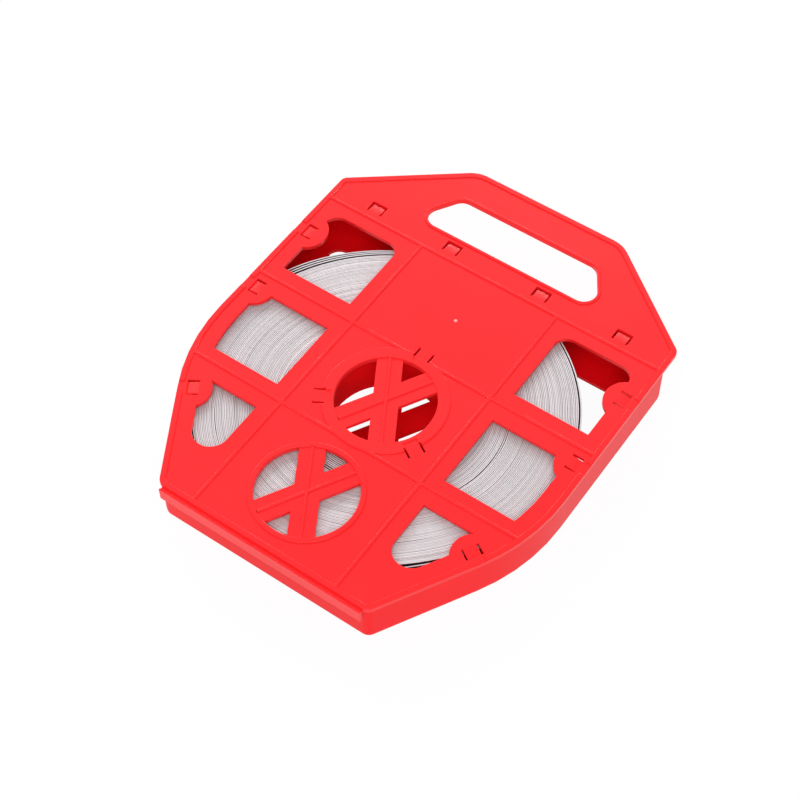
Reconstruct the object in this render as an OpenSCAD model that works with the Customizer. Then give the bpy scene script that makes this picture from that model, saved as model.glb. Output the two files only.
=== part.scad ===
// Dispenser coil of stainless steel strapping: a flat coil of band in a two-part
// moulded carry case with a handle. The case lies on its back, cover up.
// Origin on the hub axis at the underside, +Y towards the handle, +Z through the cover.

/* [Strapping] */
// Width of the steel band, which is the height of the coil
band_w = 19; // [12:0.5:25]
// Outer diameter of the coil
coil_d = 182; // [150:1:220]
// Gap between the hub tube and the bore of the coil
bore_gap = 6.4; // [3:0.2:16]
// Radial pitch of the turn lines on the ends of the coil
turn_pitch = 3.5; // [2.5:0.5:8]
// Depth of the turn lines
turn_groove = 0.5; // [0.2:0.1:1]
// Width of the turn lines
turn_line_w = 0.4; // [0.2:0.1:0.8]

/* [Case outline] */
// Gap between the coil and the walls of the round flanks
flank_gap = 6; // [3:0.2:12]
// Angle of the slanted lower sides
slant_a = 30; // [26:1:34]
// Gap between the coil and the bottom wall
foot_gap = 4.2; // [2:0.2:10]
// Gap between the coil and the step where the handle leaves the deep tray
step_gap = 1.4; // [0.8:0.1:4]
// Step to the shoulder corners
shoulder_up = 8; // [4:0.5:12]
// Slope of the shoulders
shoulder_a = 37.5; // [34:0.5:41]
// Upper edge of the handle slot to the top edge
grip_bar_w = 20; // [16:0.2:28]
// Corner radius at the ends of the top edge
top_corner_r = 16; // [10:1:20]
// Corner radius at the shoulders
shoulder_corner_r = 4.5; // [4:0.5:6]
// Corner radius at the bottom
foot_corner_r = 6; // [5:0.5:8]

/* [Case walls] */
// Thickness of the floor of the base
floor_t = 2.2; // [1.8:0.1:3]
// Thickness of the side walls
wall_t = 2; // [1.6:0.1:2.4]
// Radius of the round edge under the base
edge_r = 4.2; // [2:0.2:4.4]
// How far the base stands in from the edge of the cover
cover_overhang = 0.6; // [0.3:0.1:1]
// Height of the rings on the floor that carry the coil
runner_h = 2.7; // [1:0.1:4]
// Width of those rings
runner_w = 2; // [1.6:0.1:3]
// How far the middle of a ring is from the inner or outer edge of the coil
runner_in = 9; // [6:0.5:12]
// Gap between the coil and the rings
coil_float = 0.3; // [0.3:0.1:1]
// Gap between the coil and the cover
coil_headroom = 0.9; // [0.6:0.1:2]
// Thickness of the case at the handle
grip_t = 8; // [7.4:0.1:10]
// How far the handle of the base is set in from the outline
grip_in = 2.6; // [1.4:0.1:4]

/* [Cover] */
// Thickness of the cover plate
cover_t = 2.2; // [1.6:0.1:3]
// Height of the raised ribs and rim
rib_h = 0.6; // [0.3:0.1:1]
// Width of the ribs
rib_w = 1.8; // [1.2:0.1:2.4]
// Width of the rim
rim_w = 3; // [2:0.2:4]
// Hub axis to each long rib
rib_x = 40; // [38:0.5:42]
// Hub axis to the two cross ribs beside the hub
rib_y = 29; // [27:0.5:30]
// Cross rib under the handle to the step
bay_rib_in = 6.4; // [5:0.2:8]

/* [Hub and lower ring] */
// Diameter of the round openings
ring_d = 49.4; // [46:0.2:50.4]
// Width of the raised ring round the hub opening
hub_ring_w = 6.3; // [4:0.1:8]
// Width of the raised line round the lower opening
ring_line_w = 2.8; // [2:0.2:4]
// Bottom edge to the centre of the lower opening
ring_up = 35.2; // [33:0.2:37]
// Width of the crossed spokes
spoke_w = 12.6; // [11:0.1:15]
// Width of the crossed spokes in the floor of the hub
floor_spoke_w = 12.6; // [9:0.1:14]
// Angle of the spokes from the long axis
spoke_a = 30; // [26:1:34]
// How much wider the hub tube is than the round opening on every side
hub_step = 3.3; // [0.5:0.1:4]
// Wall of the hub tube
hub_wall = 1.6; // [1.6:0.1:2.6]

/* [Windows] */
// Inner edge of the windows from the long axis
win_x = 48; // [47:0.2:50]
// Margin between the outline and the windows
win_margin = 10.5; // [9.5:0.1:12]
// Lower edge of the upper windows
win_up_y0 = 37.4; // [36:0.2:39]
// Upper windows to the cross rib under the handle
win_rib_gap = 7.8; // [4:0.2:12]
// Corner radius of the upper windows
win_up_r = 7.2; // [5:0.2:9]
// Lower edge of the middle windows
win_mid_y0 = -21.8; // [-23:0.2:-20]
// Upper edge of the middle windows
win_mid_y1 = 19.4; // [18:0.2:21]
// Upper edge of the lower windows
win_low_y1 = -37.8; // [-39:0.2:-36]
// Radius of the lower end of the lower windows
win_low_r = 9.2; // [7:0.2:10]

/* [Handle] */
// Step to the lower edge of the handle slot
slot_up = 7.6; // [7:0.1:12]
// Width of the handle slot
slot_w = 23.6; // [18:0.2:30]
// Half length of the handle slot at its lower edge
slot_low_x = 55; // [50:0.5:58]
// Half length of the handle slot at its upper edge
slot_up_x = 40; // [36:0.5:44]
// Corner radius of the handle slot
slot_r = 7; // [4:0.5:8]
// Width of the raised rim round the slot
slot_rim_w = 1.8; // [1.2:0.1:2.4]
// How much wider the slot of the base is on every side
slot_step = 0.8; // [0.4:0.1:1.2]
// How much further the slot of the base is set back at its ends and outer side
slot_back = 3.4; // [2:0.1:5]

/* [Snap tabs] */
// Width of a snap tab between its two slots
tab_w = 6.8; // [5:0.2:8]
// Width of the slots beside a tab
tab_slot_w = 1; // [0.6:0.1:1.4]
// Length of the slots beside a tab
tab_slot_l = 5.8; // [4:0.2:6.4]
// How far the tongue of an edge or handle tab dips at its outer end
tab_dip = 0.9; // [0.3:0.1:1.2]
// Outer end of the edge slots from the outline
tab_edge = 4.6; // [4:0.1:5.4]
// How far the hub slots reach into the raised ring
hub_tab_in = 2; // [0:0.1:3]
// Radius of the round lobes that carry the edge tabs
lobe_r = 11.6; // [9:0.2:13]
// Outline to the centre of each lobe
lobe_in = 5.2; // [3:0.2:7]
// Height of the upper edge tabs
edge_tab_up_y = 63.8; // [60:0.2:66]
// Height of the middle edge tabs
edge_tab_mid_y = 20.2; // [18:0.2:22]
// Long axis to the inner pair of handle tabs
grip_tab_x1 = 26.4; // [22:0.2:32]
// Long axis to the outer pair of handle tabs
grip_tab_x2 = 72.8; // [68:0.2:76]
// Thickness of the legs under the tabs
leg_t = 1.6; // [1.2:0.1:1.6]
// Length of the legs under the edge and hub tabs
leg_l = 7; // [5:0.2:10]
// Gap between the legs of the handle tabs and the floor of the handle
leg_float = 0.6; // [0.4:0.1:1]
// Clearance between a leg and the wall it catches
leg_gap = 0.4; // [0.3:0.05:0.5]
// Reach of the barb on a leg
barb_l = 0.7; // [0.5:0.1:0.9]
// Height of the barb on a leg
barb_h = 2; // [1.6:0.1:2.4]

/* [Bottom lip] */
// Corner of the bottom edge to the end of the lip
lip_in = 2; // [1.6:0.2:20]
// How far the lip stands out from the outline
lip_out = 2.4; // [1.6:0.1:3.2]
// Height of the lip
lip_h = 6.6; // [5:0.2:9]
// Thickness of the lip
lip_t = 1.6; // [1.2:0.1:1.8]
// How far the top of the lip lies under the cover plate
lip_drop = 0.8; // [0.4:0.1:1.2]

/* [Hidden] */

$fn = 96;
seg_a = 6;                                      // largest angle of one piece of a rounded corner
edge_steps = 6;                                 // pieces of the round edge under the base
over = 1;                                       // how far a cutter runs past the face it opens
leg_root = 0.5;                                 // how far a leg is rooted in the plate
leg_in = 0.6;                                   // how much narrower a leg is than its tab, each side
case_red = [0.93, 0.14, 0.16];
steel_grey = [0.80, 0.80, 0.78];

runner_z = floor_t + runner_h;                   // top of the rings
coil_z0 = runner_z + coil_float;
base_h = coil_z0 + band_w + coil_headroom;      // top of the walls, underside of the cover
plate_z = base_h + cover_t;                     // top face of the cover plate
case_t = plate_z + rib_h;
grip_z = case_t - grip_t;                       // underside of the handle
grip_floor_z = grip_z + wall_t;
chamber_in = cover_overhang + wall_t;           // outline to the inner faces of the walls
tray_in = grip_in + wall_t;                     // the same in the handle

flank_r = coil_d / 2 + flank_gap + chamber_in;  // hub axis to the flanks and slanted sides
foot_y = coil_d / 2 + foot_gap + chamber_in;    // hub axis to the bottom edge
step_y = coil_d / 2 + step_gap + chamber_in;    // hub axis to the step
shoulder_y = step_y + shoulder_up;
slot_y0 = step_y + slot_up;
slot_y1 = slot_y0 + slot_w;
top_y = slot_y1 + grip_bar_w;
bay_rib_y = step_y - bay_rib_in;
win_up_y1 = bay_rib_y - win_rib_gap;
lower_ring_y = foot_y - ring_up;

hub_ring_d = ring_d + 2 * hub_ring_w;
hub_d = ring_d + 2 * hub_step;                  // inner diameter of the hub tube
hub_out_d = hub_d + 2 * hub_wall;
bore_d = hub_out_d + 2 * bore_gap;              // bore of the coil
hub_tab_r = hub_ring_d / 2 - hub_tab_in;        // hub axis to the start of the hub slots

// ---- outline helpers -------------------------------------------------------

function unit(v) = v / norm(v);
function wrap(a) = a > 180 ? a - 360 : a < -180 ? a + 360 : a;
function ang(v) = atan2(v[1], v[0]);
function at(list, i) = list[(i + len(list)) % len(list)];

// points of one rounded corner v between its neighbours p and q
function round_corner(p, v, q, r) =
    let (u = unit(p - v), w = unit(q - v),
         half = acos(min(1, max(-1, u * w))) / 2,
         c = v + unit(u + w) * r / sin(half),
         a0 = ang(v + u * r / tan(half) - c),
         turn = wrap(ang(v + w * r / tan(half) - c) - a0),
         n = max(2, ceil(abs(180 - 2 * half) / seg_a - 0.01)))
    r <= 0 ? [v] : [for (i = [0:n]) c + r * [cos(a0 + turn * i / n), sin(a0 + turn * i / n)]];

// polygon with each corner rounded to its own radius
function rounded(pts, radii) =
    [for (i = [0:len(pts) - 1]) each round_corner(at(pts, i - 1), pts[i], at(pts, i + 1), radii[i])];

// counter-clockwise convex polygon moved inwards by d
function inset(pts, d) =
    [for (i = [0:len(pts) - 1])
        let (e0 = unit(pts[i] - at(pts, i - 1)), e1 = unit(at(pts, i + 1) - pts[i]),
             n0 = [-e0[1], e0[0]], n1 = [-e1[1], e1[0]])
        pts[i] + (n0 + n1) * d / (1 + n0 * n1)];

// right half of an outline, bottom to top, and its mirror image
function both_sides(right) =
    concat(right, [for (i = [len(right) - 1:-1:0]) [-right[i][0], right[i][1]]]);
function both_radii(r) = concat(r, [for (i = [len(r) - 1:-1:0]) r[i]]);
function shrunk(radii, d) = [for (r = radii) r == 0 ? 0 : max(r - d, 0.5)];

foot_x = (flank_r - foot_y * sin(slant_a)) / cos(slant_a);
flank_y = -flank_r * tan(slant_a / 2);
top_x = flank_r - (top_y - shoulder_y) / tan(shoulder_a);

// whole plan of the case, moved inwards by d
case_plan = both_sides([[foot_x, -foot_y], [flank_r, flank_y], [flank_r, shoulder_y], [top_x, top_y]]);
case_radii = both_radii([foot_corner_r, flank_r, shoulder_corner_r, top_corner_r]);
function outline(d) = rounded(inset(case_plan, d), shrunk(case_radii, d));

// plan of the deep tray between the bottom edge and height y, moved inwards by d
function tray(d, y, r) =
    let (plan = inset(both_sides([[foot_x, -foot_y], [flank_r, flank_y], [flank_r, y]]), d))
    rounded(plan, shrunk(both_radii([foot_corner_r, flank_r, r + d]), d));

// plan of the shallow handle tray from height y up, moved inwards by d
function grip(d, y) =
    let (plan = inset(both_sides([[flank_r, y], [flank_r, shoulder_y], [top_x, top_y]]), d))
    rounded(plan, shrunk(both_radii([0, shoulder_corner_r, top_corner_r]), d));

// handle slot widened by d, and set back further at its ends and outer side
function slot(d, back = 0) =
    let (plan = both_sides([[slot_low_x + back, slot_y0], [slot_up_x + back, slot_y1 + back]]),
         r = slot_r + d)
    rounded(inset(plan, -d), [r, r, r, r]);

module slab(pts, z0, z1) {
    translate([0, 0, z0]) linear_extrude(height = z1 - z0) polygon(pts);
}

module mirrored_x() {
    children();
    mirror([1, 0, 0]) children();
}

// ---- shared openings -------------------------------------------------------

lobe_x = flank_r - lobe_in;

// every snap tab on the edge of the case: [distance from the long axis, height, heading]
edge_tabs = [[lobe_x, edge_tab_up_y, 0], [lobe_x, edge_tab_mid_y, 0],
             [lobe_x * cos(slant_a), -lobe_x * sin(slant_a), -slant_a]];

module lobes(z0, z1) {
    for (t = edge_tabs) translate([t[0], t[1], z0]) cylinder(r = lobe_r, h = z1 - z0);
}

// windows right of the long axis, cut from z0 to z1
module windows(z0, z1) {
    win_out = flank_r - win_margin;
    upper = [[win_x, win_up_y0], [win_out, win_up_y0], [win_out, win_up_y1], [win_x, win_up_y1]];
    low_edge_x = (win_out + win_low_y1 * sin(slant_a)) / cos(slant_a);
    low_tip_y = -(win_out - win_x * cos(slant_a)) / sin(slant_a);
    lower = [[win_x, low_tip_y], [low_edge_x, win_low_y1], [win_x, win_low_y1]];
    difference() {
        union() {
            slab(rounded(upper, [0, 0, win_up_r, win_up_r]), z0, z1);
            intersection() {
                translate([win_x, win_mid_y0, z0]) cube([win_out - win_x, win_mid_y1 - win_mid_y0, z1 - z0]);
                slab(outline(win_margin), z0 - over, z1 + over);
            }
            slab(rounded(lower, [win_low_r, 0, 0]), z0, z1);
        }
        lobes(z0 - over, z1 + over);
    }
}

// round opening crossed by two spokes, cut from z0 to z1
module spoked_opening(y, z0, z1, d, w) {
    translate([0, y, z0]) difference() {
        cylinder(d = d, h = z1 - z0);
        for (a = [-spoke_a, spoke_a]) rotate(a)
            translate([-w / 2, -d, -over]) cube([w, 2 * d, z1 - z0 + 2 * over]);
    }
}

// all openings from z0 to z1, with the hub's of diameter d and its spokes of width w
module case_openings(z0, z1, d, w) {
    mirrored_x() windows(z0, z1);
    spoked_opening(0, z0, z1, d, w);
    spoked_opening(-lower_ring_y, z0, z1, ring_d, spoke_w);
}

// ---- snap tabs -------------------------------------------------------------
// A tab's own frame: origin on the underside of the cover at the catching face of
// its leg, +X towards the wall that it catches.

leg_w = tab_w - 2 * leg_in;
grip_leg_l = base_h - grip_floor_z - leg_float;
grip_root_y = step_y - chamber_in;                  // where the handle tabs spring from the plate
grip_leg_y = grip_root_y + tab_slot_l;              // catching face of their legs

module tab_leg(length) {
    barb_tip = 0.7 * barb_h;
    rotate([90, 0, 0]) translate([0, 0, -leg_w / 2]) linear_extrude(height = leg_w)
        polygon([[-leg_t, leg_root], [-leg_t, -length], [0, -length], [barb_l, barb_tip - length],
                 [0, barb_h - length], [0, leg_root]]);
}

// recess in the wall for the barb, with a clearance all round
module barb_recess(length) {
    translate([leg_gap - over, -leg_w / 2 - leg_gap, -length - leg_gap])
        cube([over + barb_l, leg_w + 2 * leg_gap, barb_h + 2 * leg_gap]);
}

module on_edge_tabs() {
    mirrored_x() for (t = edge_tabs) rotate(t[2])
        translate([flank_r - chamber_in - leg_gap, t[2] == 0 ? t[1] : 0, base_h]) children();
}

module on_hub_tabs() {
    for (a = [90, 210, 330]) rotate(a + 180)
        translate([-(hub_out_d / 2 + leg_gap), 0, base_h]) children();
}

module on_grip_tabs() {
    mirrored_x() for (x = [grip_tab_x1, grip_tab_x2])
        translate([x, grip_leg_y, base_h]) rotate(90) children();
}

// a pair of slots beside a tab of width tab_w, running from x0 along +X
module slot_pair(x0, length) {
    for (s = [-1, 1]) translate([x0, s * (tab_w + tab_slot_w) / 2 - tab_slot_w / 2, base_h - over])
        cube([length, tab_slot_w, case_t - base_h + 2 * over]);
}

// lowered strip that interrupts a raised rim or ring across a tab
module tab_notch(x0, length) {
    translate([x0, -tab_w / 2, plate_z]) cube([length, tab_w, rib_h + over]);
}

// slanted top of a tongue that dips towards its outer end
module tab_ramp(x0) {
    w = tab_w + tab_slot_w;
    translate([x0, w / 2, plate_z]) rotate([90, 0, 0]) linear_extrude(height = w)
        polygon([[0, 0], [tab_slot_l, -tab_dip], [tab_slot_l, over], [0, over]]);
}

module tab_cuts() {
    slot_out = flank_r - tab_edge;
    mirrored_x() for (t = edge_tabs) rotate(t[2]) translate([0, t[2] == 0 ? t[1] : 0, 0]) {
        slot_pair(slot_out - tab_slot_l, tab_slot_l);
        tab_ramp(slot_out - tab_slot_l);
        tab_notch(slot_out - tab_slot_l, tab_slot_l + tab_edge + over);
    }
    for (a = [90, 210, 330]) rotate(a) {
        slot_pair(hub_tab_r, tab_slot_l);
        tab_notch(ring_d / 2 + rib_w, hub_ring_w - rib_w + over);
    }
    mirrored_x() for (x = [grip_tab_x1, grip_tab_x2]) translate([x, grip_root_y, 0]) rotate(90) {
        slot_pair(0, tab_slot_l + tab_slot_w);
        tab_ramp(0);
        translate([tab_slot_l, -tab_w / 2 - tab_slot_w, base_h - over])
            cube([tab_slot_w, tab_w + 2 * tab_slot_w, case_t - base_h + 2 * over]);
    }
}

// ---- base ------------------------------------------------------------------

// deep tray as a solid block with a round lower edge
module tray_block() {
    rings = concat(
        [for (i = [0:edge_steps]) let (a = 90 * i / edge_steps)
            [for (p = tray(cover_overhang + edge_r * (1 - sin(a)), step_y, shoulder_corner_r))
                [p[0], p[1], edge_r * (1 - cos(a))]]],
        [[for (p = tray(cover_overhang, step_y, shoulder_corner_r)) [p[0], p[1], base_h]]]);
    n = len(rings[0]);
    polyhedron(
        points = [for (r = rings) each r],
        faces = concat(
            [[for (i = [0:n - 1]) i]],
            [for (k = [0:len(rings) - 2]) for (i = [0:n - 1])
                let (j = (i + 1) % n) [k * n + i, (k + 1) * n + i, (k + 1) * n + j, k * n + j]],
            [[for (i = [n - 1:-1:0]) (len(rings) - 1) * n + i]]));
}

// solid walls and floor of the base with the two hollows cut out
module hollow_base() {
    difference() {
        union() {
            tray_block();
            slab(grip(grip_in, step_y - wall_t - grip_in), grip_z, base_h);
        }
        // coil chamber
        slab(tray(chamber_in, step_y, shoulder_corner_r), floor_t, base_h + over);
        // shallow tray of the handle, round the wall of the slot
        difference() {
            slab(grip(tray_in, step_y - tray_in), grip_floor_z, base_h + over);
            slab(slot(slot_step + wall_t, slot_back), 0, base_h + 2 * over);
            translate([-flank_r, 0, 0]) cube([2 * flank_r, step_y - cover_overhang, base_h]);
        }
    }
}

// rings on the floor that the coil turns on
module runners() {
    for (d = [bore_d + 2 * runner_in, coil_d - 2 * runner_in]) difference() {
        cylinder(d = d + runner_w, h = runner_z);
        translate([0, 0, -over]) cylinder(d = d - runner_w, h = runner_z + 2 * over);
    }
}

module case_base() color(case_red) {
    difference() {
        union() {
            difference() {
                union() {
                    hollow_base();
                    runners();
                }
                case_openings(-over, runner_z + over, hub_d, floor_spoke_w);
            }
            // hub tube
            difference() {
                cylinder(d = hub_out_d, h = base_h);
                translate([0, 0, -over]) cylinder(d = hub_d, h = base_h + 2 * over);
            }
            grip_catches();
        }
        slab(slot(slot_step, slot_back), 0, base_h + over);
        on_edge_tabs() barb_recess(leg_l);
        on_hub_tabs() barb_recess(leg_l);
        on_grip_tabs() barb_recess(grip_leg_l);
    }
}

// blocks behind the legs of the handle tabs
module grip_catches() {
    on_grip_tabs() translate([leg_gap, -leg_w / 2 - wall_t, grip_floor_z - base_h])
        cube([wall_t, leg_w + 2 * wall_t, base_h - grip_floor_z - leg_gap]);
}

// ---- cover -----------------------------------------------------------------

module cover_ribs() {
    z0 = plate_z;
    reach = flank_r - rim_w;
    // rim
    difference() {
        slab(outline(0), base_h, case_t);
        slab(outline(rim_w), base_h - over, case_t + over);
    }
    // long ribs
    for (s = [-1, 1]) translate([s * rib_x - rib_w / 2, -foot_y + rim_w / 2, base_h])
        cube([rib_w, foot_y + bay_rib_y - rim_w / 2, case_t - base_h]);
    // cross ribs
    translate([-reach, bay_rib_y - rib_w / 2, base_h]) cube([2 * reach, rib_w, case_t - base_h]);
    intersection() {
        slab(outline(rim_w / 2), base_h, case_t);
        difference() {
            for (s = [-1, 1]) translate([-flank_r, s * rib_y - rib_w / 2, base_h])
                cube([2 * flank_r, rib_w, case_t - base_h]);
            translate([0, 0, base_h - over])
                cylinder(d = hub_ring_d - rib_w, h = cover_t + rib_h + 2 * over);
        }
    }
    // raised rings
    ring(0, hub_ring_d);
    ring(-lower_ring_y, ring_d + 2 * ring_line_w);
    // rim of the handle slot
    difference() {
        slab(slot(slot_rim_w), base_h, case_t);
        slab(slot(0), base_h - over, case_t + over);
    }
}

module ring(y, d) {
    translate([0, y, base_h]) difference() {
        cylinder(d = d, h = case_t - base_h);
        translate([0, 0, -over]) cylinder(d = ring_d, h = case_t - base_h + 2 * over);
    }
}

// narrow ridges along the middle of the crossed spokes
module spoke_ridges() {
    for (y = [0, -lower_ring_y]) intersection() {
        translate([0, y, base_h]) cylinder(d = ring_d + rib_w, h = case_t - base_h);
        for (a = [-spoke_a, spoke_a]) translate([0, y, 0]) rotate(a)
            translate([-rib_w / 2, -ring_d, base_h]) cube([rib_w, 2 * ring_d, case_t - base_h]);
    }
}

// lip that hangs over the bottom wall of the base
module bottom_lip() {
    lip_x = foot_x - lip_in;
    y_out = foot_y + lip_out;
    lip_z = plate_z - lip_drop;
    translate([-lip_x, -y_out, base_h]) cube([2 * lip_x, lip_out + rim_w / 2, lip_z - base_h]);
    translate([-lip_x, -y_out, lip_z - lip_h]) cube([2 * lip_x, lip_t, lip_h]);
    translate([-lip_x, -y_out, base_h]) cube([2 * lip_x, rib_w / 2, plate_z - base_h]);
}

module case_cover() color(case_red) {
    difference() {
        union() {
            slab(outline(0), base_h, plate_z);
            cover_ribs();
            spoke_ridges();
        }
        slab(slot(0), base_h - over, case_t + over);
        difference() {
            case_openings(base_h - over, case_t + over, ring_d, spoke_w);
            spoke_ridges();
        }
        tab_cuts();
    }
    bottom_lip();
    on_edge_tabs() tab_leg(leg_l);
    on_hub_tabs() tab_leg(leg_l);
    on_grip_tabs() tab_leg(grip_leg_l);
}

// ---- coil ------------------------------------------------------------------

module strapping_coil() color(steel_grey) {
    r0 = bore_d / 2;
    r1 = coil_d / 2;
    turns = floor((r1 - r0) / turn_pitch);
    step = (r1 - r0) / turns;
    // a narrow V between neighbouring groups of turns
    lines = [for (i = [1:turns - 1]) r0 + i * step];
    v = turn_line_w / 2;
    low = [for (r = lines) each [[r - v, 0], [r, turn_groove], [r + v, 0]]];
    high = [for (i = [len(lines) - 1:-1:0]) let (r = lines[i])
        each [[r + v, band_w], [r, band_w - turn_groove], [r - v, band_w]]];
    translate([0, 0, coil_z0]) rotate_extrude()
        polygon(concat([[r0, 0]], low, [[r1, 0], [r1, band_w]], high, [[r0, band_w]]));
}

case_base();
case_cover();
strapping_coil();
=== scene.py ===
import logging
import math
from dataclasses import dataclass, field
from enum import Enum

import bmesh
import bpy
from mathutils import Matrix, Vector, noise


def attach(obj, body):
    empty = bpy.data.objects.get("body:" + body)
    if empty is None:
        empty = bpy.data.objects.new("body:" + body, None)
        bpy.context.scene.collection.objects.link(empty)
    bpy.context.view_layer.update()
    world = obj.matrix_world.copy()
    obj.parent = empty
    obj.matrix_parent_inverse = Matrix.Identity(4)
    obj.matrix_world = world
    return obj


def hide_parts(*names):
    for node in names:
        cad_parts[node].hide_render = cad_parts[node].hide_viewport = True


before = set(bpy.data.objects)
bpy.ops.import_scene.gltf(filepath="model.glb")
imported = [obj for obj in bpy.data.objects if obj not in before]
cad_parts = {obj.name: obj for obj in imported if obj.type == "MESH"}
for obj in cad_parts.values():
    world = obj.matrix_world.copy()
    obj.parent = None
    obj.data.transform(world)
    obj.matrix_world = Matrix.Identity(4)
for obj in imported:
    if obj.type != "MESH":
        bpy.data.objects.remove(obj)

log = logging.getLogger("strapping_case")

MM = 0.001


class Body(Enum):
    """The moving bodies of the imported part."""

    CASE = "case"
    COIL = "coil"


class Slot(Enum):
    """The finishes that the record names."""

    BASE = "case_base"
    COVER = "case_cover"
    BAND = "steel_band"


# ---------------------------------------------------------------- meshes


def mesh_object(bm: bmesh.types.BMesh, name: str) -> bpy.types.Object:
    """Turns a bmesh into an object of the scene and frees it.

    Args:
        bm: the finished bmesh, in metres, in the row frame.
        name: the piece's name.

    Returns:
        The new object, which sits at the origin.
    """
    mesh = bpy.data.meshes.new(name)
    bm.to_mesh(mesh)
    bm.free()
    piece = bpy.data.objects.new(name, mesh)
    bpy.context.scene.collection.objects.link(piece)
    return piece


def shade_smooth(piece: bpy.types.Object, crease: float) -> None:
    """Shades a piece smooth and keeps its creases sharp.

    Args:
        piece: the mesh object.
        crease: edges that fold by more than this many degrees stay sharp.
    """
    mesh = piece.data
    mesh.polygons.foreach_set("use_smooth", [True] * len(mesh.polygons))
    mesh.set_sharp_from_angle(angle=math.radians(crease))
    mesh.update()


def fit_piece(piece: bpy.types.Object, body: Body, slot: Slot, *nodes: str) -> None:
    """Puts a finished piece on its body and hides the CAD nodes that it stands for.

    Args:
        piece: the object, already in place.
        body: the body that carries it.
        slot: the record's finish for it; not used.
        nodes: the CAD nodes that it stands for.
    """
    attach(piece, body.value)
    if nodes:
        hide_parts(*nodes)
    log.info("%s: %d faces on %s", piece.name, len(piece.data.polygons), body.value)


# ---------------------------------------------------------------- node helpers


class NodeSheet:
    """A node tree with short calls for adding and joining nodes.

    MASK_EDGE is how far a mark round an axis takes to fade, in metres.
    """

    MASK_EDGE = 0.0004

    def __init__(self, tree: bpy.types.NodeTree) -> None:
        """Keeps the tree that the nodes go into."""
        self.tree = tree

    def add(self, kind: str, **settings: object) -> bpy.types.Node:
        """Adds a node.

        Args:
            kind: the node's type name.
            settings: the node's own settings by name.

        Returns:
            The new node.
        """
        node = self.tree.nodes.new(kind)
        for name, value in settings.items():
            setattr(node, name, value)
        return node

    def feed(self, node: bpy.types.Node, socket: str | int, value: object) -> None:
        """Gives an input socket a link or a plain value.

        Args:
            node: the node that receives it.
            socket: the input's name or place.
            value: an output socket, or the value itself.
        """
        if isinstance(value, bpy.types.NodeSocket):
            self.tree.links.new(value, node.inputs[socket])
        else:
            node.inputs[socket].default_value = value

    def maths(self, operation: str, first: object, second: object) -> bpy.types.NodeSocket:
        """Adds one sum on two numbers.

        Args:
            operation: the sum, such as MULTIPLY.
            first: the first number or link.
            second: the second number or link.

        Returns:
            The result's socket.
        """
        node = self.add("ShaderNodeMath", operation=operation)
        self.feed(node, 0, first)
        self.feed(node, 1, second)
        return node.outputs[0]

    def blend(self, share: object, low: object, high: object) -> bpy.types.NodeSocket:
        """Adds a colour mix.

        Args:
            share: how much of the second colour shows.
            low: the first colour.
            high: the second colour.

        Returns:
            The mixed colour's socket.
        """
        node = self.add("ShaderNodeMix", data_type="RGBA")
        self.feed(node, 0, share)
        self.feed(node, 6, low)
        self.feed(node, 7, high)
        return node.outputs[2]

    def span(self, value: object, low: float, high: float, out_low: float,
             out_high: float) -> bpy.types.NodeSocket:
        """Maps one span of numbers to another, with a clamp.

        Args:
            value: the number or link.
            low: the start of the incoming span.
            high: the end of the incoming span.
            out_low: what the start becomes.
            out_high: what the end becomes.

        Returns:
            The mapped number's socket.
        """
        node = self.add("ShaderNodeMapRange")
        for place, number in enumerate((value, low, high, out_low, out_high)):
            self.feed(node, place, number)
        return node.outputs[0]

    def noise(self, vector: object, scale: object, detail: float,
              roughness: float = 0.5) -> bpy.types.NodeSocket:
        """Adds a noise texture.

        Args:
            vector: where it is read.
            scale: how fine it is.
            detail: how many finer layers it has.
            roughness: how strong those layers are.

        Returns:
            The noise value's socket.
        """
        node = self.add("ShaderNodeTexNoise")
        self.feed(node, "Vector", vector)
        self.feed(node, "Scale", scale)
        self.feed(node, "Detail", detail)
        self.feed(node, "Roughness", roughness)
        return node.outputs["Fac"]

    def axis_mask(self, vector: object, radius: float) -> bpy.types.NodeSocket:
        """Marks what lies near the upright axis through the origin.

        Args:
            vector: where it is read, in metres.
            radius: how far from the axis the mark reaches.

        Returns:
            The mark's socket: one inside, none outside.
        """
        flat = self.add("ShaderNodeVectorMath", operation="MULTIPLY")
        self.feed(flat, 0, vector)
        self.feed(flat, 1, (1.0, 1.0, 0.0))
        length = self.add("ShaderNodeVectorMath", operation="LENGTH")
        self.feed(length, 0, flat.outputs["Vector"])
        return self.span(length.outputs["Value"], radius, radius + self.MASK_EDGE, 1.0, 0.0)


def effect_group(name: str, inputs: dict[str, tuple[str, object]],
                 outputs: dict[str, str]) -> tuple[NodeSheet, bpy.types.Node, bpy.types.Node]:
    """Makes an empty shader node group.

    Args:
        name: the group's name.
        inputs: each input's socket type and value by name.
        outputs: each output's socket type by name.

    Returns:
        The group's sheet, its input node and its output node.
    """
    tree = bpy.data.node_groups.new(name, "ShaderNodeTree")
    for title, (kind, value) in inputs.items():
        socket = tree.interface.new_socket(title, in_out="INPUT", socket_type=kind)
        if value is not None:
            socket.default_value = value
    for title, kind in outputs.items():
        tree.interface.new_socket(title, in_out="OUTPUT", socket_type=kind)
    sheet = NodeSheet(tree)
    return sheet, sheet.add("NodeGroupInput"), sheet.add("NodeGroupOutput")


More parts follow.
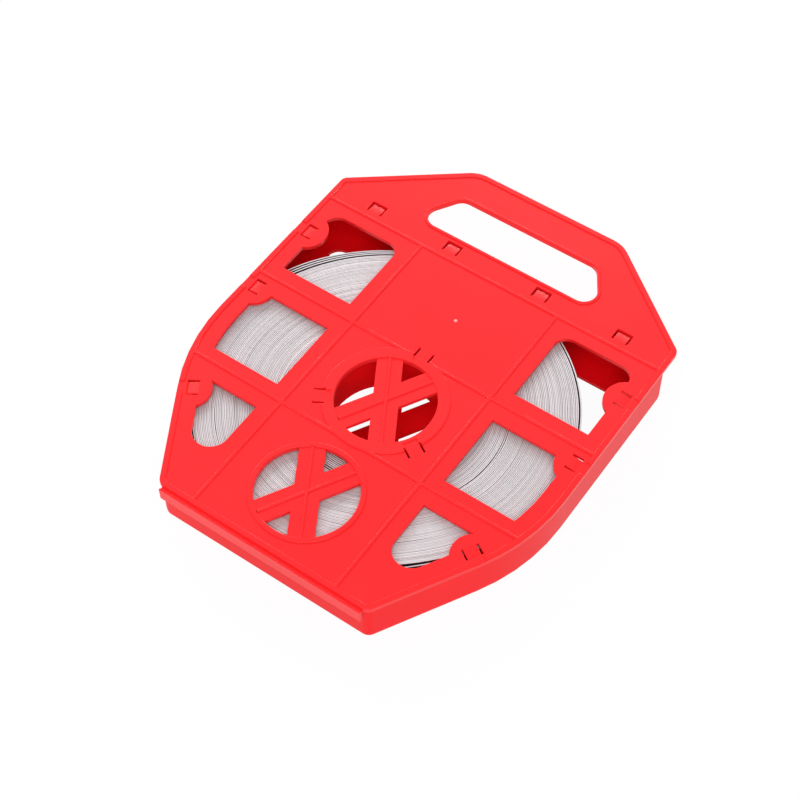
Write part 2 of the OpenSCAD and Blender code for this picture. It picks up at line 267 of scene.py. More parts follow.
@dataclass
class Effects:
    """The shared surface effects, each built once as a node group.

    A span is the stretch of noise values that becomes none to full.
    """

    coarse_share: float = 0.06
    coarse_weight: float = 2.0
    cloud_span: tuple[float, float] = (0.35, 0.68)
    scuff_turn: tuple[float, float, float] = (0.2, 0.3, 0.7)
    scuff_stretch: tuple[float, float, float] = (1.0, 9.0, 1.0)
    scuff_span: tuple[float, float] = (0.62, 0.74)
    patch_fineness: float = 22.0
    patch_span: tuple[float, float] = (0.5, 0.7)
    grain: bpy.types.NodeTree = field(init=False)
    drift: bpy.types.NodeTree = field(init=False)
    scuffs: bpy.types.NodeTree = field(init=False)
    streaks: bpy.types.NodeTree = field(init=False)

    def __post_init__(self) -> None:
        """Builds the four groups."""
        self.grain = self.make_grain()
        self.drift = self.make_drift()
        self.scuffs = self.make_scuffs()
        self.streaks = self.make_streaks()

    def make_grain(self) -> bpy.types.NodeTree:
        """Builds the fine unevenness of a moulded or rolled surface.

        Returns:
            The group: Position, Fineness and Depth in, Height out.
        """
        sheet, source, sink = effect_group(
            "surface_grain",
            {"Position": ("NodeSocketVector", None), "Fineness": ("NodeSocketFloat", 2500.0),
             "Depth": ("NodeSocketFloat", 1.0)},
            {"Height": "NodeSocketFloat"})
        fine = sheet.noise(source.outputs["Position"], source.outputs["Fineness"], 2.0)
        coarse_scale = sheet.maths("MULTIPLY", source.outputs["Fineness"],
                                   self.coarse_share)
        coarse = sheet.noise(source.outputs["Position"], coarse_scale, 1.0)
        both = sheet.maths("ADD", fine,
                           sheet.maths("MULTIPLY", coarse, self.coarse_weight))
        sheet.feed(sink, "Height", sheet.maths("MULTIPLY", both, source.outputs["Depth"]))
        return sheet.tree

    def make_drift(self) -> bpy.types.NodeTree:
        """Builds the slow change of tone across a surface.

        Returns:
            The group: Position, Tone, Other Tone, Fineness and Amount in, Color out.
        """
        sheet, source, sink = effect_group(
            "tone_drift",
            {"Position": ("NodeSocketVector", None),
             "Tone": ("NodeSocketColor", (0.5, 0.5, 0.5, 1.0)),
             "Other Tone": ("NodeSocketColor", (0.4, 0.4, 0.4, 1.0)),
             "Fineness": ("NodeSocketFloat", 18.0), "Amount": ("NodeSocketFloat", 0.5)},
            {"Color": "NodeSocketColor"})
        cloud = sheet.noise(source.outputs["Position"], source.outputs["Fineness"], 3.0, 0.55)
        share = sheet.maths("MULTIPLY", sheet.span(cloud, *self.cloud_span, 0.0, 1.0),
                            source.outputs["Amount"])
        sheet.feed(sink, "Color",
                   sheet.blend(share, source.outputs["Tone"], source.outputs["Other Tone"]))
        return sheet.tree

    def make_scuffs(self) -> bpy.types.NodeTree:
        """Builds thin rub marks from handling.

        Returns:
            The group: Position, Fineness and Amount in, Mask out.
        """
        sheet, source, sink = effect_group(
            "handling_scuffs",
            {"Position": ("NodeSocketVector", None), "Fineness": ("NodeSocketFloat", 60.0),
             "Amount": ("NodeSocketFloat", 0.5)},
            {"Mask": "NodeSocketFloat"})
        turn = sheet.add("ShaderNodeMapping")
        sheet.feed(turn, "Vector", source.outputs["Position"])
        turn.inputs["Rotation"].default_value = self.scuff_turn
        turn.inputs["Scale"].default_value = self.scuff_stretch
        lines = sheet.noise(turn.outputs[0], source.outputs["Fineness"], 4.0, 0.65)
        thin = sheet.span(lines, *self.scuff_span, 0.0, 1.0)
        patches = sheet.noise(source.outputs["Position"], self.patch_fineness, 2.0)
        where = sheet.span(patches, *self.patch_span, 0.0, 1.0)
        mask = sheet.maths("MULTIPLY", sheet.maths("MULTIPLY", thin, where),
                           source.outputs["Amount"])
        sheet.feed(sink, "Mask", mask)
        return sheet.tree

    @staticmethod
    def make_streaks() -> bpy.types.NodeTree:
        """Builds the long streaks that rolling and slitting leave along a band.

        Returns:
            The group: Along (length, turn), Lengthwise and Crosswise in, Streak out.
        """
        sheet, source, sink = effect_group(
            "rolling_streaks",
            {"Along": ("NodeSocketVector", None), "Lengthwise": ("NodeSocketFloat", 9.0),
             "Crosswise": ("NodeSocketFloat", 900.0)},
            {"Streak": "NodeSocketFloat"})
        split = sheet.add("ShaderNodeSeparateXYZ")
        sheet.feed(split, 0, source.outputs["Along"])
        join = sheet.add("ShaderNodeCombineXYZ")
        sheet.feed(join, 0, sheet.maths("MULTIPLY", split.outputs[0],
                                        source.outputs["Lengthwise"]))
        sheet.feed(join, 1, sheet.maths("MULTIPLY", split.outputs[1],
                                        source.outputs["Crosswise"]))
        sheet.feed(join, 2, split.outputs[2])
        sheet.feed(sink, "Streak", sheet.noise(join.outputs[0], 1.0, 4.0, 0.6))
        return sheet.tree


# ---------------------------------------------------------------- finishes


@dataclass(frozen=True)
class MouldedPlastic:
    """A semi-gloss moulding in one strong colour.

    The tones are plain linear colours. What lies within hub_radius of the hub's axis is
    duller by hub_dulling. That radius and the grain's height are in metres.
    """

    title: str
    tone: tuple[float, float, float, float]
    other_tone: tuple[float, float, float, float]
    rub_tone: tuple[float, float, float, float]
    roughness: float
    rubbed_roughness: float
    drift_fineness: float = 16.0
    drift_amount: float = 0.8
    scuff_fineness: float = 70.0
    scuff_amount: float = 0.35
    grain_fineness: float = 2600.0
    grain_height: float = 0.000008
    seed_turn: float = 0.0
    specular: float = 0.5
    hub_radius: float = 0.029
    hub_dulling: float = 0.45

    def make(self, effects: Effects) -> bpy.types.Material:
        """Builds the material.

        Args:
            effects: the shared node groups.

        Returns:
            The finished material.
        """
        material = bpy.data.materials.new(self.title)
        material.use_nodes = True
        sheet = NodeSheet(material.node_tree)
        shader = sheet.tree.nodes["Principled BSDF"]
        place = sheet.add("ShaderNodeTexCoord")
        turn = sheet.add("ShaderNodeMapping")
        sheet.feed(turn, "Vector", place.outputs["Object"])
        turn.inputs["Rotation"].default_value = (0.0, 0.0, self.seed_turn)

        drift = sheet.add("ShaderNodeGroup", node_tree=effects.drift)
        sheet.feed(drift, "Position", turn.outputs[0])
        sheet.feed(drift, "Tone", self.tone)
        sheet.feed(drift, "Other Tone", self.other_tone)
        sheet.feed(drift, "Fineness", self.drift_fineness)
        sheet.feed(drift, "Amount", self.drift_amount)

        scuffs = sheet.add("ShaderNodeGroup", node_tree=effects.scuffs)
        sheet.feed(scuffs, "Position", turn.outputs[0])
        sheet.feed(scuffs, "Fineness", self.scuff_fineness)
        sheet.feed(scuffs, "Amount", self.scuff_amount)
        colour = sheet.blend(scuffs.outputs["Mask"], drift.outputs["Color"], self.rub_tone)
        sheet.feed(shader, "Base Color", colour)
        rough = sheet.span(scuffs.outputs["Mask"], 0.0, 1.0, self.roughness, self.rubbed_roughness)
        inside = sheet.axis_mask(place.outputs["Object"], self.hub_radius)
        sheet.feed(shader, "Roughness",
                   sheet.maths("ADD", rough, sheet.maths("MULTIPLY", inside, self.hub_dulling)))

        grain = sheet.add("ShaderNodeGroup", node_tree=effects.grain)
        sheet.feed(grain, "Position", place.outputs["Object"])
        sheet.feed(grain, "Fineness", self.grain_fineness)
        sheet.feed(grain, "Depth", 1.0)
        bump = sheet.add("ShaderNodeBump")
        sheet.feed(bump, "Height", grain.outputs["Height"])
        bump.inputs["Distance"].default_value = self.grain_height
        sheet.feed(shader, "Normal", bump.outputs["Normal"])
        shader.inputs["Specular IOR Level"].default_value = self.specular
        return material


@dataclass(frozen=True)
class SlitSteel:
    """Bright annealed stainless band with slit edges.

    The slit edges face up and take the bright tone. The flats of the band stand upright and are
    painted near black, as painted shade for the narrow gaps between the turns:
    flat_from and flat_to say how far up a face may look before it is an edge.
    """

    title: str
    tone: tuple[float, float, float, float] = (0.86, 0.815, 0.83, 1.0)
    dull_tone: tuple[float, float, float, float] = (0.50, 0.465, 0.485, 1.0)
    smear_tone: tuple[float, float, float, float] = (0.62, 0.575, 0.60, 1.0)
    # Painted shade: the upright flats are coloured near black to stand for the shade in the gaps
    # between the turns.
    flat_painted_shade: tuple[float, float, float, float] = (0.045, 0.041, 0.042, 1.0)
    roughness: float = 0.5
    dull_roughness: float = 0.66
    metallic: float = 0.45
    streak_height: float = 0.00003
    streak_length: float = 16.0
    streak_width: float = 1100.0
    drift_fineness: float = 30.0
    drift_amount: float = 0.35
    scuff_fineness: float = 140.0
    scuff_amount: float = 0.5
    scuff_dulling: float = 0.15
    flat_from: float = 0.3
    flat_to: float = 0.7
    tone_span: tuple[float, float] = (0.3, 0.7)
    roughness_span: tuple[float, float] = (0.25, 0.75)

    def make(self, effects: Effects) -> bpy.types.Material:
        """Builds the material.

        Args:
            effects: the shared node groups.

        Returns:
            The finished material.
        """
        material = bpy.data.materials.new(self.title)
        material.use_nodes = True
        sheet = NodeSheet(material.node_tree)
        shader = sheet.tree.nodes["Principled BSDF"]
        shader.inputs["Metallic"].default_value = self.metallic
        strip = sheet.add("ShaderNodeUVMap", uv_map=BandRibbon.STRIP_MAP)
        place = sheet.add("ShaderNodeTexCoord")

        streaks = sheet.add("ShaderNodeGroup", node_tree=effects.streaks)
        sheet.feed(streaks, "Along", strip.outputs["UV"])
        sheet.feed(streaks, "Lengthwise", self.streak_length)
        sheet.feed(streaks, "Crosswise", self.streak_width)
        tone = sheet.blend(sheet.span(streaks.outputs["Streak"], *self.tone_span, 0.0, 1.0),
                           self.dull_tone, self.tone)
        drift = sheet.add("ShaderNodeGroup", node_tree=effects.drift)
        sheet.feed(drift, "Position", place.outputs["Object"])
        sheet.feed(drift, "Tone", tone)
        sheet.feed(drift, "Other Tone", self.smear_tone)
        sheet.feed(drift, "Fineness", self.drift_fineness)
        sheet.feed(drift, "Amount", self.drift_amount)
        upright = sheet.add("ShaderNodeSeparateXYZ")
        sheet.feed(upright, 0, place.outputs["Normal"])
        # Upright faces take the painted shade of the gaps between the turns instead of the steel's
        # tone.
        painted_shade_share = sheet.span(sheet.maths("ABSOLUTE", upright.outputs[2], 0.0),
                             self.flat_from, self.flat_to, 1.0, 0.0)
        sheet.feed(shader, "Base Color",
                   sheet.blend(painted_shade_share, drift.outputs["Color"], self.flat_painted_shade))
        scuffs = sheet.add("ShaderNodeGroup", node_tree=effects.scuffs)
        sheet.feed(scuffs, "Position", place.outputs["Object"])
        sheet.feed(scuffs, "Fineness", self.scuff_fineness)
        sheet.feed(scuffs, "Amount", self.scuff_amount)
        rough = sheet.span(streaks.outputs["Streak"], *self.roughness_span, self.dull_roughness,
                           self.roughness)
        sheet.feed(shader, "Roughness",
                   sheet.maths("ADD", rough,
                               sheet.maths("MULTIPLY", scuffs.outputs["Mask"],
                                           self.scuff_dulling)))
        bump = sheet.add("ShaderNodeBump")
        sheet.feed(bump, "Height", streaks.outputs["Streak"])
        bump.inputs["Distance"].default_value = self.streak_height
        sheet.feed(shader, "Normal", bump.outputs["Normal"])
        return material


@dataclass(frozen=True)
class StudioFloor:
    """White paper that keeps a faint shadow and lets the underside be seen through it."""

    title: str = "floor_paper"
    tone: tuple[float, float, float, float] = (0.94, 0.94, 0.94, 1.0)
    other_tone: tuple[float, float, float, float] = (0.92, 0.92, 0.92, 1.0)
    drift_amount: float = 0.3
    roughness: float = 0.9
    glow_share: float = 0.95

    def make(self, effects: Effects) -> bpy.types.Material:
        """Builds the material.

        Args:
            effects: the shared node groups.

        Returns:
            The finished material.
        """
        material = bpy.data.materials.new(self.title)
        material.use_nodes = True
        sheet = NodeSheet(material.node_tree)
        shader = sheet.tree.nodes["Principled BSDF"]
        sink = sheet.tree.nodes["Material Output"]
        place = sheet.add("ShaderNodeTexCoord")
        drift = sheet.add("ShaderNodeGroup", node_tree=effects.drift)
        sheet.feed(drift, "Position", place.outputs["Object"])
        sheet.feed(drift, "Tone", self.tone)
        sheet.feed(drift, "Other Tone", self.other_tone)
        sheet.feed(drift, "Amount", self.drift_amount)
        sheet.feed(shader, "Base Color", drift.outputs["Color"])
        shader.inputs["Roughness"].default_value = self.roughness
        glow = sheet.add("ShaderNodeEmission")
        glow.inputs["Color"].default_value = (1.0, 1.0, 1.0, 1.0)
        glow.inputs["Strength"].default_value = 1.0
        path = sheet.add("ShaderNodeLightPath")
        seen = sheet.maths("ADD", path.outputs["Is Camera Ray"],
                           path.outputs["Is Glossy Ray"])
        seen = sheet.maths("ADD", seen, path.outputs["Is Transmission Ray"])
        share = sheet.maths("MULTIPLY", sheet.maths("MINIMUM", seen, 1.0),
                            self.glow_share)
        mix = sheet.add("ShaderNodeMixShader")
        sheet.feed(mix, 0, share)
        sheet.feed(mix, 1, shader.outputs[0])
        sheet.feed(mix, 2, glow.outputs[0])
        side = sheet.add("ShaderNodeNewGeometry")
        clear = sheet.add("ShaderNodeBsdfTransparent")
        both = sheet.add("ShaderNodeMixShader")
        sheet.feed(both, 0, side.outputs["Backfacing"])
        sheet.feed(both, 1, mix.outputs[0])
        sheet.feed(both, 2, clear.outputs[0])
        sheet.feed(sink, "Surface", both.outputs[0])
        return material


# ---------------------------------------------------------------- sub-assemblies


@dataclass
class CaseMoulding:
    """One red moulding of the case, with the soft edges that a mould gives.

    Lengths are in metres, folds and the crease in degrees.
    """

    node: str
    slot: Slot
    rib_round: float = 0.0005
    edge_share: float = 0.3
    edge_steps: int = 4
    edge_fold: float = 30.0
    crease: float = 32.0
    weld: float = 0.000002
    flat_fold: float = 0.4
    rib_depth: float = 0.0001

    def build(self) -> bpy.types.Object:
        """Makes the moulding from a merged copy of its CAD node.

        Returns:
            The finished object.
        """
        bm = bmesh.new()
        bm.from_mesh(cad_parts[self.node].data)
        bmesh.ops.remove_doubles(bm, verts=bm.verts, dist=self.weld)
        bmesh.ops.dissolve_limit(bm, angle_limit=math.radians(self.flat_fold),
                                 verts=bm.verts, edges=bm.edges, delimit={"NORMAL"})
        open_edges = sum(not edge.is_manifold for edge in bm.edges)
        log.info("%s: %d open edges after the merge", self.node, open_edges)
        self.weigh_edges(bm)
        piece = mesh_object(bm, self.node + "_moulding")
        shade_smooth(piece, self.crease)
        soft = piece.modifiers.new("soft_edges", "BEVEL")
        soft.width = self.rib_round
        soft.segments = self.edge_steps
        soft.limit_method = "WEIGHT"
        soft.use_clamp_overlap = False
        soft.loop_slide = False
        soft.face_strength_mode = "FSTR_AFFECTED"
        graph = bpy.context.evaluated_depsgraph_get()
        rounded = bpy.data.meshes.new_from_object(piece.evaluated_get(graph))
        piece.modifiers.clear()
        piece.data = rounded
        shade_smooth(piece, self.crease)
        even = piece.modifiers.new("flat_faces", "WEIGHTED_NORMAL")
        even.mode = "FACE_AREA"
        even.weight = 100
        even.use_face_influence = True
        even.keep_sharp = True
        return piece

    def weigh_edges(self, bm: bmesh.types.BMesh) -> None:
        """Says how round each edge becomes: the top edges of the ribs most.

        Args:
            bm: the merged copy of the moulding.
        """
        layer = bm.edges.layers.float.new("bevel_weight_edge")
        top = max(vert.co.z for vert in bm.verts) - self.rib_depth
        for edge in bm.edges:
            if not edge.is_convex or edge.calc_face_angle() < math.radians(self.edge_fold):
                continue
            on_rib = all(vert.co.z > top for vert in edge.verts)
            edge[layer] = 1.0 if on_rib else self.edge_share

    def dress(self, piece: bpy.types.Object, material: bpy.types.Material) -> None:
        """Gives the moulding its finish and body.

        Args:
            piece: the finished moulding.
            material: its red plastic.
        """
        piece.data.materials.clear()
        piece.data.materials.append(material)
        fit_piece(piece, Body.CASE, self.slot, self.node)


@dataclass(frozen=True)
class GateMark:
    """The small round stub that the mould's gate leaves on the cover, in millimetres."""

    place: tuple[float, float] = (0.8, 58.2)
    plate_z: float = 27.25
    radius: float = 0.9
    height: float = 0.5
    rings: int = 8
    sides: int = 24
    crease: float = 50.0

    def build(self) -> bpy.types.Object:
        """Makes the stub as a low closed dome.

        Returns:
            The finished object, in metres.
        """
        bm = bmesh.new()
        bmesh.ops.create_uvsphere(bm, u_segments=self.sides, v_segments=self.rings * 2,
                                  radius=self.radius)
        bmesh.ops.bisect_plane(bm, geom=bm.verts[:] + bm.edges[:] + bm.faces[:],
                               plane_co=(0.0, 0.0, 0.0), plane_no=(0.0, 0.0, -1.0),
                               clear_outer=True)
        bmesh.ops.holes_fill(bm, edges=bm.edges, sides=0)
        bmesh.ops.scale(bm, vec=(1.0, 1.0, self.height / self.radius), verts=bm.verts)
        bmesh.ops.translate(bm, vec=(*self.place, self.plate_z), verts=bm.verts)
        bmesh.ops.scale(bm, vec=(MM, MM, MM), verts=bm.verts)
        bmesh.ops.recalc_face_normals(bm, faces=bm.faces)
        piece = mesh_object(bm, "gate_mark")
        shade_smooth(piece, self.crease)
        return piece

    def dress(self, piece: bpy.types.Object, material: bpy.types.Material) -> None:
        """Gives the stub its finish and body."""
        piece.data.materials.append(material)
        fit_piece(piece, Body.CASE, Slot.COVER)


@dataclass(frozen=True)
class Bulge:
    """A soft rise or dip of some value at one angle of the roll.

    Angle and spread are in degrees. The height has the unit of what it changes.
    """

    angle: float
    height: float
    spread: float

    def at(self, angle: float) -> float:
        """Returns the rise at an angle in degrees."""
        gap = (angle - self.angle + 180.0) % 360.0 - 180.0
        return self.height * math.exp(-((gap / self.spread) ** 2))


@dataclass(frozen=True)
class TurnSplit:
    """A place where one turn stands off the turn inside it, in millimetres and degrees."""

    turn: float
    angle: float
    width: float
    spread: float

    def at(self, turn: float, angle: float) -> float:
        """Returns the extra radius of a turn at an angle in degrees.

        Args:
            turn: how many turns from the inner end.
            angle: where on that turn, in degrees.

        Returns:
            The extra radius in millimetres.
        """
        if turn < self.turn:
            return 0.0
        gap = (angle - self.angle + 180.0) % 360.0 - 180.0
        return self.width * math.exp(-((gap / self.spread) ** 2))


@dataclass
class BandRibbon:
    """A length of flat band wound in a spiral, in millimetres and degrees.

    The outline's bulges change the outer turns most. Slack bulges change the innermost turns
    and fade out at tight_until turns. Where the band is ruffled, its turns slide further up
    and down. A pace is how many steps of noise one turn takes.
    """

    STRIP_MAP = "strip"
    SLOW_ROW = 7.0
    QUICK_ROW = 19.0
    QUICK_LAYER = 5.0
    JITTER_LAYER = 3.1

    name: str
    turns: float
    first_radius: float
    last_radius: float
    start_angle: float
    outline: list[Bulge] = field(default_factory=list)
    slack: list[Bulge] = field(default_factory=list)
    tight_until: float = 3.0
    splits: list[TurnSplit] = field(default_factory=list)
    ruffles: list[Bulge] = field(default_factory=list)
    low_z: float = 5.2
    high_z: float = 24.2
    thickness: float = 0.66
    edge_round: float = 0.12
    cuts_per_turn: int = 96
    wander: float = 0.28
    wander_rise: float = 0.12
    slow_pace: float = 0.35
    slow_share: float = 0.7
    quick_pace: float = 2.3
    quick_share: float = 0.6
    slack_fade: float = 1.1
    jitter: float = 0.035
    jitter_pace: float = 1.7
    map_step: float = 0.013
    crease: float = 40.0
    seed: float = 0.0

    def strip(self) -> bmesh.types.BMesh:
        """Makes the straight band, one unit long per turn, with its edges eased.

        Returns:
            The bmesh: x counts turns, y is the thickness, z the width.
        """
        bm = bmesh.new()
        bmesh.ops.create_cube(bm, size=1.0)
        width = self.high_z - self.low_z
        bmesh.ops.scale(bm, vec=(self.turns, self.thickness, width), verts=bm.verts)
        bmesh.ops.translate(bm, vec=(self.turns / 2, 0.0, self.low_z + width / 2),
                            verts=bm.verts)
        long_edges = [edge for edge in bm.edges
                      if abs(edge.verts[0].co.x - edge.verts[1].co.x) > self.turns / 2]
        bmesh.ops.bevel(bm, geom=long_edges, offset=self.edge_round, offset_type="OFFSET",
                        segments=1, profile=0.5, affect="EDGES", material=-1)
        long_edges = [edge for edge in bm.edges
                      if abs(edge.verts[0].co.x - edge.verts[1].co.x) > self.turns / 2]
        cuts = int(self.turns * self.cuts_per_turn)
        bmesh.ops.subdivide_edges(bm, edges=long_edges, cuts=cuts, use_grid_fill=True)
        return bm

    def centre_radius(self, turn: float) -> tuple[float, float]:
        """Works out where the middle of the band lies.

        Args:
            turn: how many turns from the inner end.

        Returns:
            The angle in degrees and the radius in millimetres.
        """
        angle = self.start_angle + 360.0 * turn
        share = turn / self.turns
        outer = self.last_radius + sum(bulge.at(angle) for bulge in self.outline)
        radius = self.first_radius + (outer - self.first_radius) * share
        slack = max(0.0, 1.0 - turn / self.tight_until)
        radius += sum(bulge.at(angle) for bulge in self.slack) * slack ** self.slack_fade
        radius += sum(split.at(turn, angle) for split in self.splits) * (1.0 - share)
        spot = Vector((turn * self.jitter_pace, self.seed, self.JITTER_LAYER))
        radius += self.jitter * noise.noise(spot)
        return angle, radius

    def shift(self, turn: float, angle: float) -> float:
        """Works out how far a turn has slid along the axis.

        Args:
            turn: how many turns from the inner end.
            angle: where on that turn, in degrees.

        Returns:
            The slide in millimetres.
        """
        slow = noise.noise(Vector((turn * self.slow_pace, self.seed + self.SLOW_ROW, 0.0)))
        quick = noise.noise(Vector((turn * self.quick_pace, self.seed + self.QUICK_ROW,
                                    self.QUICK_LAYER)))
        reach = self.wander * (1.0 + sum(ruffle.at(angle) for ruffle in self.ruffles))
        return reach * (self.slow_share * slow + self.quick_share * quick + self.wander_rise)

    def build(self) -> bpy.types.Object:
        """Winds the band and returns it as an object.

        Returns:
            The finished object, in metres.
        """
        bm = self.strip()
        layer = bm.loops.layers.uv.new(self.STRIP_MAP)
        length = math.pi * 2.0 * self.first_radius * MM
        for face in bm.faces:
            for loop in face.loops:
                co = loop.vert.co
                across = (co.y + co.z) * MM + round(co.x) * self.map_step
                loop[layer].uv = (co.x * length, across)
        for vert in bm.verts:
            turn, depth, height = vert.co
            angle, radius = self.centre_radius(turn)
            lift = self.shift(turn, angle)
            reach = radius + depth
            vert.co = Vector((reach * math.cos(math.radians(angle)),
                              reach * math.sin(math.radians(angle)),
                              height + lift)) * MM
        bmesh.ops.recalc_face_normals(bm, faces=bm.faces)
        piece = mesh_object(bm, self.name)
        shade_smooth(piece, self.crease)
        return piece

    def dress(self, piece: bpy.types.Object, material: bpy.types.Material, body: Body,
              *nodes: str) -> None:
        """Gives the band its finish and body.

        Args:
            piece: the wound band.
            material: its steel.
            body: the body that carries it.
            nodes: the CAD nodes that it stands for.
        """
        piece.data.materials.append(material)
        fit_piece(piece, body, Slot.BAND, *nodes)


@dataclass(frozen=True)
class LooseLength:
    """A length of band that stands off the roll, in millimetres and degrees."""

    name: str
    radius: float
    start_angle: float
    sweep: float
    bulge: Bulge
    seed: float
    body: Body = Body.CASE
    tight_until: float = 0.001
    cuts_per_turn: int = 240

    def ribbon(self) -> BandRibbon:
        """Returns the band of this length."""
        return BandRibbon(self.name, turns=self.sweep / 360.0, first_radius=self.radius,
                          last_radius=self.radius, start_angle=self.start_angle,
                          outline=[self.bulge], tight_until=self.tight_until,
                          cuts_per_turn=self.cuts_per_turn, seed=self.seed)


@dataclass
class StrappingCoil:
    """The wound band, the turns that spring off it and its tail."""

    finish: SlitSteel = SlitSteel("slit_steel")
    turns: float = 70.8
    first_radius: float = 36.7
    last_radius: float = 91.6
    start_angle: float = -60.0
    pressed_in: Bulge = Bulge(-47.0, -3.1, 24.0)
    ruffle: Bulge = Bulge(-140.0, 1.1, 20.0)
    slack: Bulge = Bulge(-84.0, -1.6, 40.0)
    tight_until: float = 9.0
    splits: tuple[TurnSplit, ...] = (
        TurnSplit(9.7, -92.0, 0.5, 20.0), TurnSplit(10.7, -92.0, 0.45, 18.0),
        TurnSplit(28.4, -8.0, 0.6, 22.0), TurnSplit(29.4, 14.0, 0.4, 12.0),
        TurnSplit(54.6, -48.0, 0.9, 12.0), TurnSplit(57.0, -137.0, 1.1, 7.0))
    loose: tuple[LooseLength, ...] = (
        LooseLength("loose_turn_1", 92.75, 101.0, 150.0, Bulge(150.0, 1.1, 30.0), 4.0),
        LooseLength("loose_turn_2", 93.62, 104.0, 143.0, Bulge(150.0, 2.8, 30.0), 5.0),
        LooseLength("loose_turn_3", 94.42, 107.0, 136.0, Bulge(150.0, 4.5, 30.0), 6.0),
        LooseLength("loose_turn_4", 92.48, -27.0, 105.0, Bulge(38.0, 0.12, 13.0), 7.0),
        LooseLength("band_tail", 90.2, -68.0, 46.0, Bulge(-45.0, -0.88, 12.0), 9.0,
                    Body.COIL))

    def wound_band(self) -> BandRibbon:
        """Returns the band that makes the roll."""
        return BandRibbon("wound_band", turns=self.turns, first_radius=self.first_radius,
                          last_radius=self.last_radius, start_angle=self.start_angle,
                          outline=[self.pressed_in], ruffles=[self.ruffle],
                          slack=[self.slack], tight_until=self.tight_until,
                          splits=list(self.splits))

    def build(self, effects: Effects) -> None:
        """Winds the band and lays the loose lengths round it.

        Args:
            effects: the shared node groups.
        """
        steel = self.finish.make(effects)
        band = self.wound_band()
        band.dress(band.build(), steel, Body.COIL, "strapping_coil")
        for length in self.loose:
            ribbon = length.ribbon()
            ribbon.dress(ribbon.build(), steel, length.body)


@dataclass
class CarryCase:
    """The two red mouldings and the gate mark on the cover."""

    # The cover's red has more green and blue than the base's: painted sheen on the lit top plate,
    # standing in for the sky's reflection there.
    cover_finish: MouldedPlastic = MouldedPlastic(
        "red_cover_plastic_painted_sheen", tone=(0.95, 0.019, 0.023, 1.0),
        other_tone=(0.90, 0.016, 0.019, 1.0), rub_tone=(0.95, 0.04, 0.045, 1.0),
        roughness=0.32, rubbed_roughness=0.46, specular=0.25)
    base_finish: MouldedPlastic = MouldedPlastic(
        "red_base_plastic", tone=(0.94, 0.004, 0.009, 1.0),
        other_tone=(0.88, 0.003, 0.007, 1.0), rub_tone=(0.95, 0.035, 0.04, 1.0),
        roughness=0.36, rubbed_roughness=0.48, seed_turn=1.1, specular=0.1)
    stub_finish: MouldedPlastic = MouldedPlastic(
        "gate_stub_plastic", tone=(0.95, 0.42, 0.42, 1.0),
        other_tone=(0.95, 0.30, 0.30, 1.0), rub_tone=(0.95, 0.5, 0.5, 1.0),
        roughness=0.3, rubbed_roughness=0.45)
    mark: GateMark = GateMark()

    def build(self, effects: Effects) -> None:
        """Builds the mouldings, then the gate mark.

        Args:
            effects: the shared node groups.
        """
        cover_red_painted_sheen = self.cover_finish.make(effects)
        base_red = self.base_finish.make(effects)
        for node, slot, finish in (("case_cover", Slot.COVER, cover_red_painted_sheen),
                                   ("case_base", Slot.BASE, base_red)):
            moulding = CaseMoulding(node, slot)
            moulding.dress(moulding.build(), finish)
        self.mark.dress(self.mark.build(), self.stub_finish.make(effects))


# ---------------------------------------------------------------- studio


@dataclass(frozen=True)
class SoftLamp:
    """A round soft lamp that shines at the object."""

    name: str
    power: float
    size: float
    place: tuple[float, float, float]

    def hang(self) -> None:
        """Adds the lamp to the scene."""
        lamp = bpy.data.lights.new(self.name, "AREA")
        lamp.shape = "DISK"
        lamp.size = self.size
        lamp.energy = self.power
        holder = bpy.data.objects.new(self.name, lamp)
        bpy.context.scene.collection.objects.link(holder)
        holder.location = self.place
        holder.rotation_mode = "QUATERNION"
        holder.rotation_quaternion = (-Vector(self.place)).to_track_quat("-Z", "Y")


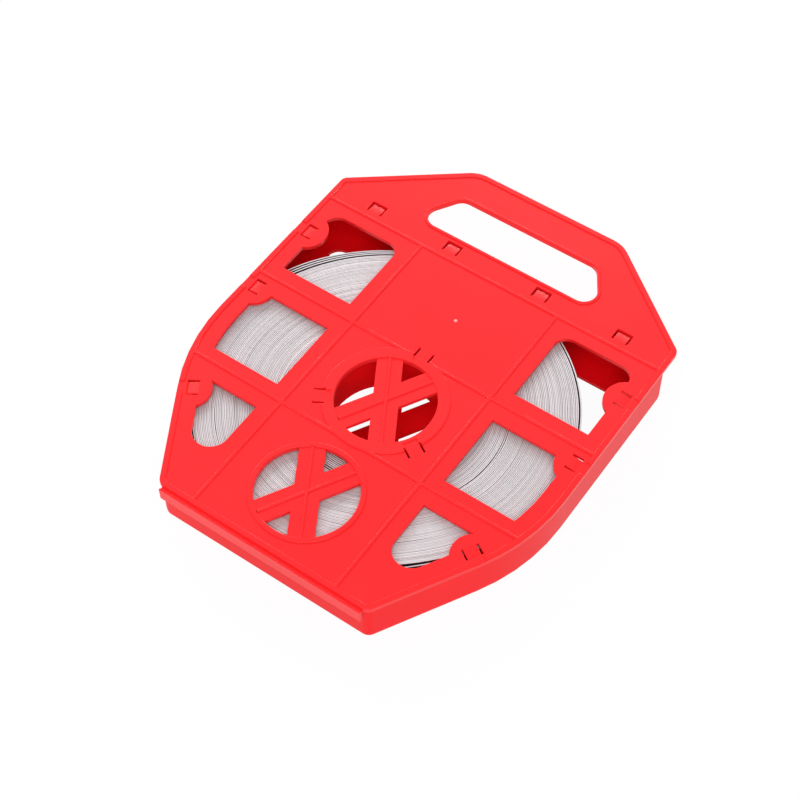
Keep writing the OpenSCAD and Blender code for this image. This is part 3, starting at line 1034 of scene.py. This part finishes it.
@dataclass
class Studio:
    """Floor, lamps, world and camera.

    Places, the camera's sight and the floor are in metres, the lens and sensor in millimetres.
    """

    eye: tuple[float, float, float] = (0.2909, -0.3975, 0.7180)
    right: tuple[float, float, float] = (0.82011, 0.57218, -0.00634)
    down: tuple[float, float, float] = (0.46292, -0.66994, -0.58041)
    lens: float = 80.67
    sensor: float = 36.0
    sight: tuple[float, float] = (0.01, 50.0)
    sky: float = 0.5
    lamps: tuple[SoftLamp, ...] = (
        SoftLamp("left_lamp", 14.0, 0.9, (-1.50, 0.75, 0.85)),
        SoftLamp("back_lamp", 16.0, 0.9, (-0.66, 1.7, 0.82)),
        SoftLamp("front_lamp", 16.0, 1.6, (0.55, -0.80, 1.28)))
    floor_half: float = 6.0
    floor_rise: float = 0.00004

    def build(self, effects: Effects) -> None:
        """Builds everything that stands round the object.

        Args:
            effects: the shared node groups.
        """
        self.place_floor(effects)
        self.place_sky()
        for lamp in self.lamps:
            lamp.hang()
        self.place_camera()

    def place_floor(self, effects: Effects) -> None:
        """Lays the white paper.

        Args:
            effects: the shared node groups.
        """
        bm = bmesh.new()
        bmesh.ops.create_grid(bm, x_segments=2, y_segments=2, size=self.floor_half)
        bmesh.ops.translate(bm, vec=(0.0, 0.0, self.floor_rise), verts=bm.verts)
        floor = mesh_object(bm, "studio_floor")
        floor.data.materials.append(StudioFloor().make(effects))

    def place_sky(self) -> None:
        """Sets the even light from all round."""
        world = bpy.data.worlds.new("studio_world")
        bpy.context.scene.world = world
        world.use_nodes = True
        sheet = NodeSheet(world.node_tree)
        sky = sheet.tree.nodes["Background"]
        sky.inputs["Color"].default_value = (1.0, 1.0, 1.0, 1.0)
        sky.inputs["Strength"].default_value = self.sky

    def place_camera(self) -> None:
        """Sets the camera at the viewing angle."""
        data = bpy.data.cameras.new("camera")
        data.lens = self.lens
        data.sensor_width = self.sensor
        data.clip_start, data.clip_end = self.sight
        camera = bpy.data.objects.new("camera", data)
        bpy.context.scene.collection.objects.link(camera)
        right, up = Vector(self.right), -Vector(self.down)
        back = right.cross(up)
        turn = Matrix((right, up, back)).transposed().to_4x4()
        camera.matrix_world = Matrix.Translation(self.eye) @ turn
        bpy.context.scene.camera = camera


# ---------------------------------------------------------------- main


def main() -> None:
    """Builds the pieces in order."""
    logging.basicConfig(level=logging.INFO, format="%(name)s: %(message)s")
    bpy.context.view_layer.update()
    bpy.context.scene.view_settings.view_transform = "Standard"
    effects = Effects()
    Studio().build(effects)
    CarryCase().build(effects)
    StrappingCoil().build(effects)


if __name__ == "__main__":
    main()
